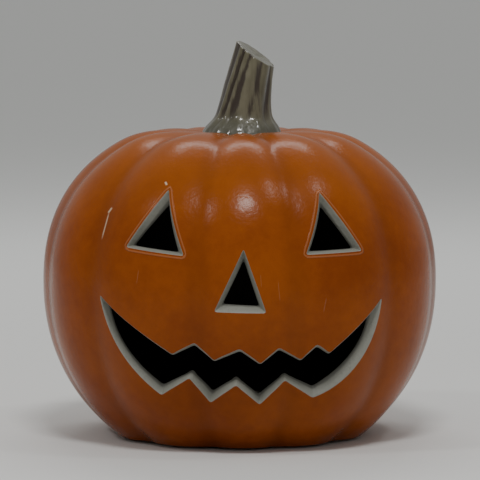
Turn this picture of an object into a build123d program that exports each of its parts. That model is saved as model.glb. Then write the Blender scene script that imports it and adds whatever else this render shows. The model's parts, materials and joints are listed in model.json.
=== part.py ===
from build123d import *
import os
from math import cos, hypot, pi, radians, sin

# A hollow ceramic jack-o'-lantern with a moulded stem, cut eyes, nose and mouth, and a battery light
# that closes the hole in its base. Millimetres, +Z up, face towards -Y, origin on the table plane
# under the middle of the body. Azimuths are degrees from the front (-Y), positive towards +X.

# ---- Body ----
BODY_R = 127.6              # widest radius: a 10 inch figure
EQUATOR_Z = 99.7            # height of the widest circle
UPPER_H = 107.3             # equator to the undimpled crown
LOWER_H = 123.8             # equator to the point where the lower curve would close
UPPER_POWER = 2.26          # superellipse powers of the two halves
LOWER_POWER = 2.14
DIMPLE_DEPTH = 12.5         # the crown sinks towards the stem
DIMPLE_R = 78.0
WALL = 7.0
GROOVE_DEPTH = 2.8
GROOVE_POWER = 0.55         # below 1 gives full lobes and narrow grooves
GROOVE_FADE_R = 60.0        # grooves run out towards the axis inside this radius
FRONT_GROOVES = [-78, -47, -12, 16, 49, 81]
BACK_LOBES = 7
LOBE_STEPS = [0.0, 0.07, 0.2, 0.5, 0.8, 0.93, 1.0]
CROWN_HOLE_R = 9.0
FLOOR_TOP = 9.0
SKIN_POINTS = 18            # points along each skin, from the foot to the crown's hole
FOOT_SLOPES = (-80, -5)     # slopes between which the foot, the crown's hole and the face lie
CROWN_SLOPES = (40, 89.9)
FACE_SLOPES = (-60, 75)

# ---- Base ----
PAD_T = 1.5                 # felt pads lift the ceramic foot off the table
PAD_R = 8.0
PAD_CIRCLE_R = 66.0
RECESS_R = 49.5
RECESS_TOP = 3.4
LIGHT_HOLE_R = 39.0
BLANK_HOLE_R = 33.0         # the lofted wall stops here, before the light's hole is cut

# ---- Stem: sections every 7 mm up from STEM_FOOT_Z, each (middle X, half width) ----
STEM_FOOT_Z = 191.0
STEM_RISE = 7.0
STEM_SECTIONS = [(0.5, 27.0), (1.0, 24.6), (2.0, 19.3), (2.9, 17.4), (4.0, 16.4), (5.2, 15.7), (6.6, 15.0),
                 (8.1, 14.4), (9.7, 13.9), (11.3, 13.5), (13.0, 13.1)]
STEM_TWIST = 2.5            # degrees from each section to the next
STEM_FLUTES = 11
STEM_FLUTE_SHARE = 0.055
STEM_POINTS = 4             # points to each flute
STEM_CUT_BOX = (120, 120, 60)
STEM_TOP = (11.0, 0.0, 245.6)   # point on the slanted cut, and the direction it faces
STEM_TOP_NORMAL = (0.56, -0.16, 0.81)

# ---- Light module ----
FLANGE_R = 48.5
PLATE_Z = (1.4, 3.4)
BARREL_R = 37.5
BARREL_WALL = 1.6
DECK_Z = (14.4, 15.8)
OVER = 1.0                  # how far cutting shapes run past the surfaces they cut
JOIN = 0.1                  # how far joined shapes run into each other
CELL_R = 5.25               # AAA cell: 10.5 x 44.5
CELL_L = 44.5
CELL_FILLET = 0.4
NUB_R = 1.9
NUB_L = 1.0
CELL_PITCH = 11.2
CELL_Z = 9.0
CELL_SHIFT = 1.5            # each cell sits this far towards its own nub end
CONTACT_Y = 26.3
CONTACT_T = 0.5
CONTACT_W = 8.6
CONTACT_Z = (4.6, 13.6)
BAY_X = 17.2
BAY_WALL = 1.2
BAY_END_WALL = 1.5
BAY_FOOT_Z = 4.6
BAY_END_Y = CONTACT_Y + CONTACT_T
BOARD_R = 32.0
BOARD_Z = (16.8, 18.0)
LED_CIRCLE_R = 12.0
LED_R = 2.5
BOARD_HOLE_R = 1.2
SCREW_CIRCLE_R = 26.0
POST_R = 2.6
PILOT_R = 1.0
BOARD_SCREW_HEAD = (2.0, 1.1)
CHIP_SIZE = (3.2, 1.6, 0.6)
SPRING_WIRE_R = 0.35
SPRING_R = (3.6, 2.6)       # coil radius at the contact and at the cell
SPRING_TURNS = 3
SPRING_CHORDS = 10          # straight chords to each turn
SPRING_GAP = 0.05           # between the wire and what it touches
DOME_R = 37.0
DOME_TOP = 25.2
DOME_WALL = 1.4
DOME_SKIRT = 3.0
LEAD_R = 0.6
LEAD_ROOM = 0.4

# ---- Battery door ----
HINGE_X = -19.0
HINGE_Z = 2.8
KNUCKLE_R = 1.4
PIN_R = 0.75
RUNNING = 0.05              # radial clearance of the knuckle on its pin
DOOR_Z = (1.4, 3.2)
DOOR_X = (-16.6, 19.7)
DOOR_HALF_Y = 27.0
KNUCKLE_HALF_Y = 23.4
PIN_HALF_Y = 26.7
GAP = 0.3
SCREW_X = 22.6
SCREW_SHANK_R = 1.25
SCREW_HEAD_R = 2.4
SCREW_Z = (1.5, 2.8, 6.8)   # head's foot, head's top and the shank's end
SLOT_SIZE = (3.0, 0.6, 1.4)
TAB_X = 26.2                # the door's screw tab ends here
TAB_HALF_Y = 4.5
TAB_TOP = 4.0
SINK_R = 2.6                # the head sits in this recess, above this floor
SINK_TOP = 2.8
BOSS_R = 3.4
BOSS_FOOT_Z = 4.3
INSERT_R = 2.1
INSERT_TOP = 7.3
INSERT_BORE_R = 1.5         # leaves the shank room for the door's swing
VENTS_X = range(-8, 15, 4)
VENT = (0.6, 9.0, 0.4)      # half width, half length and depth of each grip groove

# ---- Switch ----
SWITCH_X = 27.0
SWITCH_Y = (9.6, 18.8)
SWITCH_HALF_X = 2.2
SWITCH_TOP = 7.6
SLOT_HALF_X = 1.4
SLOT_END = 2.0              # the slot runs this far past each end of the knob's middle
KNOB_HALF = (1.0, 1.5)
KNOB_Y = 12.2
KNOB_TRAVEL = 4.0
KNOB_Z = (0.7, 5.4)
RIB_PITCH = 0.9

# ---- Cut face: (azimuth, height) of each corner, on the outer skin and on the inner one ----
LEFT_EYE = {
    "outer": {
        "low": [(-34.3, 129.6), (-16.2, 125.4)],
        "high": [(-34.3, 129.6), (-24.2, 165.1), (-16.2, 125.4)],
    },
    "inner": {
        "low": [(-33.0, 130.4), (-19.1, 127.6)],
        "high": [(-33.0, 130.4), (-24.1, 154.2), (-19.1, 127.6)],
    },
}
RIGHT_EYE = {
    "outer": {
        "low": [(19.2, 126.0), (37.0, 127.0)],
        "high": [(19.2, 126.0), (26.8, 163.3), (37.0, 127.0)],
    },
    "inner": {
        "low": [(21.6, 127.9), (35.2, 128.6)],
        "high": [(21.6, 127.9), (27.5, 152.8), (35.2, 128.6)],
    },
}
NOSE = {
    "outer": {"low": [(-7.2, 91.7), (7.2, 91.1)], "high": [(-7.2, 91.7), (1.0, 130.3), (7.2, 91.1)]},
    "inner": {"low": [(-4.6, 96.9), (5.2, 95.7)], "high": [(-4.6, 96.9), (1.1, 121.6), (5.2, 95.7)]},
}
# The mouth's two ends are arcs through three corners; the teeth between them are straight.
MOUTH = {
    "outer": {
        "left": [(-44.0, 98.8), (-37.0, 64.5), (-25.5, 37.4)],
        "teeth": [(-15.6, 49.5), (-9.7, 33.5), (-1.2, 45.6), (6.3, 32.7), (13.8, 48.1)],
        "right": [(23.8, 36.0), (37.3, 57.7), (44.4, 96.9)],
        "high": [(-19.9, 64.7), (-13.2, 72.0), (-7.6, 61.4), (-0.1, 68.9), (5.9, 59.5), (11.2, 69.2),
                 (18.1, 61.1), (22.5, 70.5), (26.6, 64.9)],
    },
    "inner": {
        "left": [(-42.0, 91.5), (-36.6, 67.0), (-25.7, 44.7)],
        "teeth": [(-15.2, 54.5), (-9.1, 41.7), (-1.1, 51.2), (6.1, 40.0), (14.2, 52.7)],
        "right": [(24.5, 43.8), (35.6, 62.5), (40.8, 84.7)],
        "high": [(-21.0, 62.9), (-14.0, 69.6), (-8.0, 59.6), (0.0, 66.5), (6.2, 57.8), (11.9, 66.8),
                 (19.2, 59.3), (23.8, 68.0), (28.0, 63.0)],
    },
}
MOUTH_ARC_STEPS = 6
LONGEST_STRAIGHT = 9.0      # straight cuts are divided so that they follow the round skin
OVERRUN = 0.6               # the cutting solid runs this share of the wall past each skin


def profile(slope, inset):
    """Radius and height of the body's meridian at a slope of -90 (foot) to 90 (crown), moved inwards."""

    def skin(angle):
        c, s = cos(radians(angle)), sin(radians(angle))
        power = UPPER_POWER if s > 0 else LOWER_POWER
        height = UPPER_H if s > 0 else -LOWER_H
        radius = BODY_R * abs(c) ** (2 / power)
        dimple = DIMPLE_DEPTH * max(1 - (radius / DIMPLE_R) ** 2, 0) ** 2 if s > 0 else 0
        return radius, EQUATOR_Z + height * abs(s) ** (2 / power) - dimple

    step = 0.05
    r1, z1 = skin(slope - step)
    r2, z2 = skin(slope + step)
    along = hypot(r2 - r1, z2 - z1)
    radius, height = skin(slope)
    return radius - (z2 - z1) / along * inset, height + (r2 - r1) / along * inset


def slope_where(reached, low, high):
    """Slope between low and high at which the test, false at low, turns true."""
    for _ in range(40):
        middle = (low + high) / 2
        low, high = (low, middle) if reached(middle) else (middle, high)
    return (low + high) / 2


def groove_azimuths():
    """All the grooves in order, once round."""
    first, last = FRONT_GROOVES[0] + 360, FRONT_GROOVES[-1]
    back = [last + (first - last) * i / BACK_LOBES for i in range(1, BACK_LOBES)]
    return FRONT_GROOVES + back


def at_azimuth(azimuth, radius, height):
    a = radians(azimuth)
    return Vector(radius * sin(a), -radius * cos(a), height)


def wall_section(azimuth, share):
    """The wall's closed outline in the half plane at an azimuth, a share of the way across its lobe."""
    lowness = 1 - abs(sin(pi * share)) ** GROOVE_POWER if 0 < share < 1 else 1.0

    def skin(slope, depth):
        radius, _ = profile(slope, 0)
        return profile(slope, depth + GROOVE_DEPTH * lowness * min(radius / GROOVE_FADE_R, 1))

    def curve(depth, foot):
        start = slope_where(lambda s: skin(s, depth)[1] > foot, *FOOT_SLOPES)
        end = slope_where(lambda s: skin(s, depth)[0] < CROWN_HOLE_R, *CROWN_SLOPES)
        slopes = [start + (end - start) * i / (SKIN_POINTS - 1) for i in range(SKIN_POINTS)]
        points = [skin(s, depth) for s in slopes]
        return [at_azimuth(azimuth, r, z) for r, z in points]

    outer = curve(0, PAD_T)
    inner = curve(WALL, FLOOR_TOP)
    inner_floor = at_azimuth(azimuth, BLANK_HOLE_R, FLOOR_TOP)
    foot = at_azimuth(azimuth, BLANK_HOLE_R, PAD_T)
    edges = [Spline(*outer), Line(outer[-1], inner[-1]), Spline(*reversed(inner)),
             Line(inner[0], inner_floor), Line(inner_floor, foot), Line(foot, outer[0])]
    return Wire(edges)


def body_wall():
    """Twelve lobes, each lofted from groove to groove and joined."""
    grooves = groove_azimuths()
    lobes = []
    for index, start in enumerate(grooves):
        end = grooves[index + 1] if index + 1 < len(grooves) else grooves[0] + 360
        sections = [wall_section(start + (end - start) * u, u) for u in LOBE_STEPS]
        lobes.append(Solid.make_loft(sections))
    return lobes[0].fuse(*lobes[1:])


def arc_points(start, middle, end, steps):
    """Points along the arc through three (azimuth, height) corners, worked in millimetres on the skin."""
    unit = radians(1) * BODY_R
    arc = ThreePointArc(*[(a * unit, h) for a, h in (start, middle, end)])
    return [((arc @ (i / steps)).X / unit, (arc @ (i / steps)).Y) for i in range(steps + 1)]


def mouth_chains(side):
    left = arc_points(*side["left"], MOUTH_ARC_STEPS)
    right = arc_points(*side["right"], MOUTH_ARC_STEPS)
    return {"low": left + side["teeth"] + right, "high": [left[0]] + side["high"] + [right[-1]]}


def divided(outer, inner):
    """The same chain with its long straights divided alike on both skins."""
    unit = radians(1) * BODY_R
    filled = ([outer[0]], [inner[0]])
    for k in range(len(outer) - 1):
        length = hypot((outer[k + 1][0] - outer[k][0]) * unit, outer[k + 1][1] - outer[k][1])
        steps = max(1, round(length / LONGEST_STRAIGHT))
        for chain, made in zip((outer, inner), filled):
            (a1, h1), (a2, h2) = chain[k], chain[k + 1]
            made += [(a1 + (a2 - a1) * i / steps, h1 + (h2 - h1) * i / steps) for i in range(1, steps + 1)]
    return filled


def skin_point(azimuth, height, depth):
    """The point at a height on the skin a depth inside the outer one."""
    slope = slope_where(lambda s: profile(s, depth)[1] > height, *FACE_SLOPES)
    radius, _ = profile(slope, depth)
    return at_azimuth(azimuth, radius, height)


def triangle(a, b, c):
    return Face(Wire(Polyline(a, b, c, close=True).edges()))


def face_cutter(opening):
    """A closed solid through the wall, ruled from the outer outline to the inner one and run past both."""
    outside, inside, order = {}, {}, {}
    for chain in ("low", "high"):
        outer, inner = divided(opening["outer"][chain], opening["inner"][chain])
        order[chain] = outer
        ends = [(skin_point(*o, 0), skin_point(*i, WALL)) for o, i in zip(outer, inner)]
        outside[chain] = [o + (o - i) * OVERRUN for o, i in ends]
        inside[chain] = [i + (i - o) * OVERRUN for o, i in ends]
    faces = []
    for chain in ("low", "high"):
        near, far = outside[chain], inside[chain]
        for k in range(len(near) - 1):
            faces.append(triangle(near[k], near[k + 1], far[k + 1]))
            faces.append(triangle(near[k], far[k + 1], far[k]))
    for skin in (outside, inside):
        low, high = 0, 0
        while low < len(skin["low"]) - 1 or high < len(skin["high"]) - 1:
            more_low = low < len(skin["low"]) - 1
            more_high = high < len(skin["high"]) - 1
            go_low = more_low and (not more_high or order["low"][low + 1][0] <= order["high"][high + 1][0])
            corner = skin["low"][low + 1] if go_low else skin["high"][high + 1]
            a, b = skin["low"][low], skin["high"][high]
            if (a - b).length > 1e-6 and (corner - a).length > 1e-6 and (corner - b).length > 1e-6:
                faces.append(triangle(a, b, corner))
            low, high = (low + 1, high) if go_low else (low, high + 1)
    return Solid(Shell(faces))


def tube(radius, bottom, top, x=0, y=0):
    return Pos(x, y, bottom) * Cylinder(radius, top - bottom, align=(Align.CENTER, Align.CENTER, Align.MIN))


def block(x, y, z):
    """A box from (low, high) pairs."""
    size = [b - a for a, b in (x, y, z)]
    return Pos(x[0], y[0], z[0]) * Box(*size, align=(Align.MIN, Align.MIN, Align.MIN))


def around(count, radius, start=0):
    """Places equally spaced on a circle about the Z axis."""
    angles = [radians(start + 360 * i / count) for i in range(count)]
    return [(radius * cos(a), radius * sin(a)) for a in angles]


def body_shell():
    mouth = {side: mouth_chains(MOUTH[side]) for side in ("outer", "inner")}
    shell = body_wall()
    for opening in (LEFT_EYE, RIGHT_EYE, NOSE, mouth):
        shell = shell.cut(face_cutter(opening))
    recess = tube(RECESS_R, PAD_T - OVER, RECESS_TOP)
    hole = tube(LIGHT_HOLE_R, PAD_T - OVER, FLOOR_TOP + OVER)
    return shell.cut(recess, hole)


def stem(shell):
    """A fluted, leaning stem whose foot follows the crown and whose tenon fills the crown's hole."""
    wires = []
    for index, (middle, half) in enumerate(STEM_SECTIONS):
        turn = radians(index * STEM_TWIST)
        height = STEM_FOOT_Z + index * STEM_RISE
        points = []
        for k in range(STEM_FLUTES * STEM_POINTS):
            a = 2 * pi * k / (STEM_FLUTES * STEM_POINTS)
            radius = half * (1 + STEM_FLUTE_SHARE * (cos(STEM_FLUTES * a) - 1))
            points.append((middle + radius * cos(a + turn), radius * sin(a + turn), height))
        wires.append(Wire([Spline(*points, periodic=True)]))
    solid = Solid.make_loft(wires)
    above = Plane(origin=STEM_TOP, z_dir=STEM_TOP_NORMAL)
    solid = solid.cut(above * Box(*STEM_CUT_BOX, align=(Align.CENTER, Align.CENTER, Align.MIN)))
    solid = solid.cut(shell)
    return max(solid.solids(), key=lambda s: s.volume)


def module_housing():
    """Flange, barrel, deck, battery bay, board posts, hinge ears and screw boss in one moulding."""
    bottom, top = PLATE_Z
    deck_in = DECK_Z[0] + JOIN
    body = tube(FLANGE_R, bottom, top) + tube(BARREL_R, top, DECK_Z[1])
    body -= tube(BARREL_R - BARREL_WALL, top, DECK_Z[0])
    through = (bottom - OVER, top + JOIN)
    bay_y = (-DOOR_HALF_Y - GAP, DOOR_HALF_Y + GAP)
    body -= block((HINGE_X - KNUCKLE_R - 0.5, DOOR_X[1] + GAP), bay_y, through)
    body -= block((DOOR_X[1], TAB_X + GAP), (-TAB_HALF_Y - GAP, TAB_HALF_Y + GAP), through)
    for side in (-1, 1):
        wall_x = sorted((side * BAY_X, side * (BAY_X + BAY_WALL)))
        body += block(wall_x, (-BAY_END_Y, BAY_END_Y), (BAY_FOOT_Z, deck_in))
        end_y = sorted((side * BAY_END_Y, side * (BAY_END_Y + BAY_END_WALL)))
        body += block((-BAY_X - BAY_WALL, BAY_X + BAY_WALL), end_y, (top, deck_in))
        ear_y = sorted((side * (KNUCKLE_HALF_Y + GAP), side * (DOOR_HALF_Y + GAP + JOIN)))
        body += block((HINGE_X - KNUCKLE_R - 0.6, HINGE_X + 1.7), ear_y, (bottom, BAY_FOOT_Z))
    body += tube(BOSS_R, BOSS_FOOT_Z, deck_in, SCREW_X)
    body -= tube(INSERT_R, BOSS_FOOT_Z - GAP, INSERT_TOP + JOIN, SCREW_X)
    body -= Pos(HINGE_X, 0, HINGE_Z) * Rot(90, 0, 0) * Cylinder(PIN_R, 2 * PIN_HALF_Y)
    for x, y in around(3, SCREW_CIRCLE_R, 90):
        body += tube(POST_R, DECK_Z[1] - JOIN, BOARD_Z[0], x, y)
        body -= tube(PILOT_R, DECK_Z[0] + 0.5, BOARD_Z[0] + OVER, x, y)
    lip_r = DOME_R - DOME_WALL - JOIN
    lip = tube(lip_r, DECK_Z[1] - JOIN, DECK_Z[1] + 1.2)
    body += lip - tube(lip_r - BAY_WALL, DECK_Z[1] - OVER, DECK_Z[1] + 2)
    body -= switch_slot(bottom - OVER, top + OVER)
    for x, y in lead_places():
        body -= tube(LEAD_R + LEAD_ROOM, DECK_Z[0] - OVER, DECK_Z[1] + OVER, x, y)
    return body


def switch_slot(bottom, top):
    """The slot that the knob slides in."""
    ends = (KNOB_Y - SLOT_END, KNOB_Y + KNOB_TRAVEL + SLOT_END)
    return block((SWITCH_X - SLOT_HALF_X, SWITCH_X + SLOT_HALF_X), ends, (bottom, top))


def cell_x(index):
    return (index - 1) * CELL_PITCH


def nub_side(index):
    """The end the nub faces: the cells alternate, and the outer two face +Y."""
    return -1 if index == 1 else 1


def lead_places():
    """The two contact leads, then the two switch leads."""
    contact_y = CONTACT_Y + CONTACT_T / 2
    low, high = SWITCH_Y
    return [(cell_x(0), contact_y), (cell_x(2), -contact_y), (SWITCH_X, low + 2.4), (SWITCH_X, high - 2.4)]


def battery(index):
    side = nub_side(index)
    shoulder = CELL_L / 2 - NUB_L
    can = fillet(tube(CELL_R, -CELL_L / 2, shoulder).edges(), CELL_FILLET)
    can += tube(NUB_R, shoulder, CELL_L / 2)
    return Pos(cell_x(index), side * CELL_SHIFT, CELL_Z) * Rot(-90 * side, 0, 0) * can


def battery_spring(index):
    """A conical coil between a contact plate and a cell's flat end, swept along short straight chords."""
    room = CONTACT_Y - (CELL_L / 2 - CELL_SHIFT)
    height = room - 2 * (SPRING_WIRE_R + SPRING_GAP)
    corners = []
    for step in range(SPRING_TURNS * SPRING_CHORDS + 1):
        share = step / (SPRING_TURNS * SPRING_CHORDS)
        angle = 2 * pi * SPRING_TURNS * share
        radius = SPRING_R[0] + (SPRING_R[1] - SPRING_R[0]) * share
        corners.append(Vector(radius * cos(angle), radius * sin(angle), height * share))
    start = Plane(origin=corners[0], z_dir=corners[1] - corners[0])
    coil = sweep(start * Circle(SPRING_WIRE_R), path=Polyline(*corners), transition=Transition.RIGHT)
    side = -nub_side(index)
    start_y = side * (CONTACT_Y - SPRING_WIRE_R - SPRING_GAP)
    return Pos(cell_x(index), start_y, CELL_Z) * Rot(90 * side, 0, 0) * coil


def contact(x, side, nub_cell=None):
    """A plate at one end of the bay, with a pressed boss where it meets a nub."""
    plate_y = sorted((side * CONTACT_Y, side * (CONTACT_Y + CONTACT_T)))
    plate = block(x, plate_y, CONTACT_Z)
    if nub_cell is not None:
        reach = CELL_L / 2 + CELL_SHIFT
        boss_y = side * (reach + CONTACT_Y) / 2
        boss = Rot(90, 0, 0) * Cylinder(2.2, CONTACT_Y - reach)
        plate += Pos(cell_x(nub_cell), boss_y, CELL_Z) * boss
    return plate


def diffuser_dome():
    """A low frosted dome: an arc section turned about the Z axis, with an even wall."""

    def lens(radius, rim, top):
        arc = ThreePointArc((radius, 0, rim), (radius * 0.72, 0, rim + (top - rim) * 0.66), (0, 0, top))
        section = [arc, Line((0, 0, top), (0, 0, rim)), Line((0, 0, rim), (radius, 0, rim))]
        return revolve(make_face(section), Axis.Z)

    skirt_top = DECK_Z[1] + DOME_SKIRT
    inner_r = DOME_R - DOME_WALL
    outer = tube(DOME_R, DECK_Z[1], skirt_top) + lens(DOME_R, skirt_top, DOME_TOP)
    inner = tube(inner_r, DECK_Z[1], skirt_top) + lens(inner_r, skirt_top, DOME_TOP - DOME_WALL)
    return outer - inner


def led(x, y):
    rim = BOARD_Z[1] + 0.8
    shoulder = rim + 1.4
    cap = Pos(x, y, shoulder) * (Sphere(LED_R) & tube(LED_R, 0, LED_R))
    return tube(LED_R + 0.4, BOARD_Z[1], rim, x, y) + tube(LED_R, rim, shoulder, x, y) + cap


def circuit_board():
    board = tube(BOARD_R, *BOARD_Z)
    for x, y in around(3, SCREW_CIRCLE_R, 90):
        board -= tube(BOARD_HOLE_R, BOARD_Z[0] - OVER, BOARD_Z[1] + OVER, x, y)
    return board


def board_screws():
    """Three pan-head screws with a slot across each head."""
    head_r, head_h = BOARD_SCREW_HEAD
    top = BOARD_Z[1] + head_h
    screws = []
    for x, y in around(3, SCREW_CIRCLE_R, 90):
        screw = tube(PILOT_R, DECK_Z[0] + 0.6, BOARD_Z[1] + JOIN, x, y) + tube(head_r, BOARD_Z[1], top, x, y)
        screws.append(screw - block((x - 1.4, x + 1.4), (y - 0.25, y + 0.25), (top - 0.5, top + OVER)))
    return Compound(screws)


def resistors():
    """A chip between each pair of lamps."""
    x_size, y_size, height = CHIP_SIZE
    chips = []
    for x, y in around(3, LED_CIRCLE_R, 90):
        x_pair, y_pair = (x - x_size / 2, x + x_size / 2), (y - y_size / 2, y + y_size / 2)
        chips.append(block(x_pair, y_pair, (BOARD_Z[1], BOARD_Z[1] + height)))
    return Compound(chips)


def battery_door():
    """A plate with a knuckle on its hinge edge and a screw tab on the other."""
    bottom, top = DOOR_Z
    knuckle = Pos(HINGE_X, 0, HINGE_Z) * Rot(90, 0, 0)
    door = block(DOOR_X, (-DOOR_HALF_Y, DOOR_HALF_Y), DOOR_Z)
    door += block((HINGE_X, DOOR_X[0] + JOIN), (-KNUCKLE_HALF_Y, KNUCKLE_HALF_Y), DOOR_Z)
    door += knuckle * Cylinder(KNUCKLE_R, 2 * KNUCKLE_HALF_Y)
    door -= knuckle * Cylinder(PIN_R + RUNNING, 3 * KNUCKLE_HALF_Y)
    door += block((DOOR_X[1] - JOIN, TAB_X), (-TAB_HALF_Y, TAB_HALF_Y), (bottom, TAB_TOP))
    door -= tube(SINK_R, bottom - OVER, SINK_TOP, SCREW_X)
    door -= tube(SCREW_SHANK_R + JOIN, bottom, TAB_TOP + OVER, SCREW_X)
    half_x, half_y, depth = VENT
    for x in VENTS_X:
        door -= block((x - half_x, x + half_x), (-half_y, half_y), (bottom - OVER, bottom + depth))
    return door


def door_screw():
    """A cross-head screw with a plain shank."""
    foot, head_top, end = SCREW_Z
    screw = tube(SCREW_HEAD_R, foot, head_top, SCREW_X) + tube(SCREW_SHANK_R, head_top - JOIN, end, SCREW_X)
    for turn in (0, 90):
        screw -= Pos(SCREW_X, 0, foot - JOIN) * Rot(0, 0, turn) * Box(*SLOT_SIZE)
    return screw


def switch_body():
    case = block((SWITCH_X - SWITCH_HALF_X, SWITCH_X + SWITCH_HALF_X), SWITCH_Y, (PLATE_Z[1], SWITCH_TOP))
    return case - switch_slot(PLATE_Z[1] - OVER, KNOB_Z[1] + GAP)


def switch_knob():
    """The slide's knob, with three grip grooves across its foot."""
    half_x, half_y = KNOB_HALF
    foot = KNOB_Z[0]
    knob = block((SWITCH_X - half_x, SWITCH_X + half_x), (KNOB_Y - half_y, KNOB_Y + half_y), KNOB_Z)
    for step in (-1, 0, 1):
        y = KNOB_Y + step * RIB_PITCH
        across = (SWITCH_X - 2 * half_x, SWITCH_X + 2 * half_x)
        knob -= block(across, (y - 0.2, y + 0.2), (foot - 0.2, foot + 0.25))
    return knob


def leads(places, bottom):
    return Compound([tube(LEAD_R, bottom, BOARD_Z[0], x, y) for x, y in places])


def build():
    """Every node of the assembly by name."""
    shell = body_shell()
    places = lead_places()
    half = CONTACT_W / 2
    ring = tube(LIGHT_HOLE_R, RECESS_TOP, FLOOR_TOP) - tube(BARREL_R, 0, DECK_Z[1])
    insert = tube(INSERT_R, BOSS_FOOT_Z, INSERT_TOP, SCREW_X) - tube(INSERT_BORE_R, 0, DECK_Z[0], SCREW_X)
    pin = Pos(HINGE_X, 0, HINGE_Z) * Rot(90, 0, 0) * Cylinder(PIN_R, 2 * PIN_HALF_Y)
    nodes = {
        "body_shell": shell,
        "stem": stem(shell),
        "foam_collar": ring,
        "module_housing": module_housing(),
        "diffuser_dome": diffuser_dome(),
        "circuit_board": circuit_board(),
        "board_screws": board_screws(),
        "led_resistors": resistors(),
        "contact_plus": contact((cell_x(0) - half, cell_x(0) + half), 1, 0),
        "contact_minus": contact((cell_x(2) - half, cell_x(2) + half), -1),
        "contact_bridge_1": contact((cell_x(0) - half, cell_x(1) + half), -1, 1),
        "contact_bridge_2": contact((cell_x(1) - half, cell_x(2) + half), 1, 2),
        "lead_red": leads(places[:1], CONTACT_Z[1]),
        "lead_black": leads(places[1:2], CONTACT_Z[1]),
        "switch_leads": leads(places[2:], SWITCH_TOP),
        "switch_body": switch_body(),
        "switch_knob": switch_knob(),
        "battery_door": battery_door(),
        "door_hinge_pin": pin,
        "door_screw": door_screw(),
        "screw_insert": insert,
    }
    for number, (x, y) in enumerate(around(4, PAD_CIRCLE_R, 45), 1):
        nodes[f"foot_pad_{number}"] = tube(PAD_R, 0, PAD_T, x, y)
    for number, (x, y) in enumerate(around(3, LED_CIRCLE_R, 30), 1):
        nodes[f"led_{number}"] = led(x, y)
    for index in range(3):
        nodes[f"battery_{index + 1}"] = battery(index)
        nodes[f"battery_spring_{index + 1}"] = battery_spring(index)
    return nodes


os.makedirs("parts", exist_ok=True)
for name, solid in build().items():
    export_step(solid, f"parts/{name}.step")
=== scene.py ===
import json
import logging
import math
from dataclasses import dataclass
from enum import Enum
from functools import cached_property
from typing import Callable, Iterable, Sequence

import bmesh
import bpy
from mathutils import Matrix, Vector, noise

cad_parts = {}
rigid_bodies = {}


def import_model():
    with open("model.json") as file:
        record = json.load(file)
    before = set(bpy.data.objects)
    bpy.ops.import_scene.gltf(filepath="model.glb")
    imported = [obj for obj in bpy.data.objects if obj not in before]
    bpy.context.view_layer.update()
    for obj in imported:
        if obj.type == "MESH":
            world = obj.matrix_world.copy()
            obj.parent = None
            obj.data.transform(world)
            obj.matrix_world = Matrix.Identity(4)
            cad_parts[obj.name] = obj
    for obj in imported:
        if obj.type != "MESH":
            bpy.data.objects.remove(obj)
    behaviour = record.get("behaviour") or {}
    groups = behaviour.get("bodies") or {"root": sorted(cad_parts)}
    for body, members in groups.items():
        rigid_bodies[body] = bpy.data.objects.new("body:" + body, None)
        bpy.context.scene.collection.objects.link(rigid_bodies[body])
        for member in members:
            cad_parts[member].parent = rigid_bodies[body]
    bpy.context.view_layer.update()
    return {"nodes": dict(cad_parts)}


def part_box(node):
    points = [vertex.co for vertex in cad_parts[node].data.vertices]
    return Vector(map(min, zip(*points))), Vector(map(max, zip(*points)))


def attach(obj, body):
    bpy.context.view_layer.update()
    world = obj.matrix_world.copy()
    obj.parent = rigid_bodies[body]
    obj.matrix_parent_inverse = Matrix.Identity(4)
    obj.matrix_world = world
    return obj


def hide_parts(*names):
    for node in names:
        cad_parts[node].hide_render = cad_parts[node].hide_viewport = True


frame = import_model()

MM = 0.001
BODY = "pumpkin"
LOG = logging.getLogger("pumpkin")


# ---- shader kit


class Signal:
    """One number carried through a shader tree, with the operators the finishes use."""

    def __init__(self, graph: "Graph", socket: bpy.types.NodeSocket) -> None:
        """Wrap an output socket of a graph."""
        self.graph = graph
        self.socket = socket

    def _math(self, operation: str, *values: "Signal | float") -> "Signal":
        """Add a Math node on these values and return its result."""
        inputs = {index: value for index, value in enumerate(values)}
        made = self.graph.node("ShaderNodeMath", {"operation": operation}, inputs)
        return Signal(self.graph, made.outputs[0])

    def __add__(self, other: "Signal | float") -> "Signal":
        """Sum."""
        return self._math("ADD", self, other)

    __radd__ = __add__

    def __sub__(self, other: "Signal | float") -> "Signal":
        """Difference."""
        return self._math("SUBTRACT", self, other)

    def __rsub__(self, other: float) -> "Signal":
        """Difference with the number first, as in 1 - mask."""
        return self._math("SUBTRACT", other, self)

    def __mul__(self, other: "Signal | float") -> "Signal":
        """Product."""
        return self._math("MULTIPLY", self, other)

    def __pow__(self, other: float) -> "Signal":
        """Power."""
        return self._math("POWER", self, other)

    def step(self, low: float, high: float) -> "Signal":
        """Ease from 0 at low to 1 at high, or the other way round when low is the larger.

        Args:
            low: Value that gives 0.
            high: Value that gives 1.

        Returns:
            The eased signal.
        """
        flip = low > high
        start, end = (high, low) if flip else (low, high)
        inputs = {"Value": self, "From Min": start, "From Max": end}
        made = self.graph.node("ShaderNodeMapRange", {"interpolation_type": "SMOOTHSTEP"}, inputs)
        eased = Signal(self.graph, made.outputs["Result"])
        return 1 - eased if flip else eased

    def most(self, other: "Signal | float") -> "Signal":
        """Larger of the two."""
        return self._math("MAXIMUM", self, other)

    def absolute(self) -> "Signal":
        """Size without sign."""
        return self._math("ABSOLUTE", self)


Colour = tuple[float, float, float]


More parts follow.
